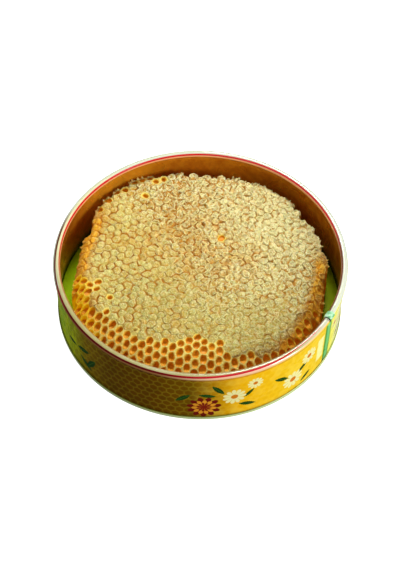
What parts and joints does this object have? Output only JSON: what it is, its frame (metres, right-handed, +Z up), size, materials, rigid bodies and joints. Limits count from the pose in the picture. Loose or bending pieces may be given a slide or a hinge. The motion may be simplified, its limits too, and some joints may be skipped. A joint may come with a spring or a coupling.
{
  "type": "honeycomb piece in a round tin",
  "caption": "Round piece of capped honeycomb with open cells along one side, lying in the low open round tin it was built in.",
  "frame": {"origin": "middle of the tin's foot ring, on the surface it stands on", "axes": "+Z up, out of the tin's open top; -Y towards the side where the open cells are, with the tin's lock seam 30 degrees from +X towards -Y"},
  "size_m": [0.201, 0.2012, 0.0492],
  "materials": {
    "printed_tin": "glossy printed lacquer outside, amber lacquer inside",
    "lacquered_base": "glossy green lacquer",
    "honeycomb": "satin beeswax with glossy honey in the open cells"
  },
  "bodies": {
    "root": {"tin_wall": "printed_tin", "tin_base": "lacquered_base", "honeycomb": "honeycomb"}
  },
  "joints": []
}
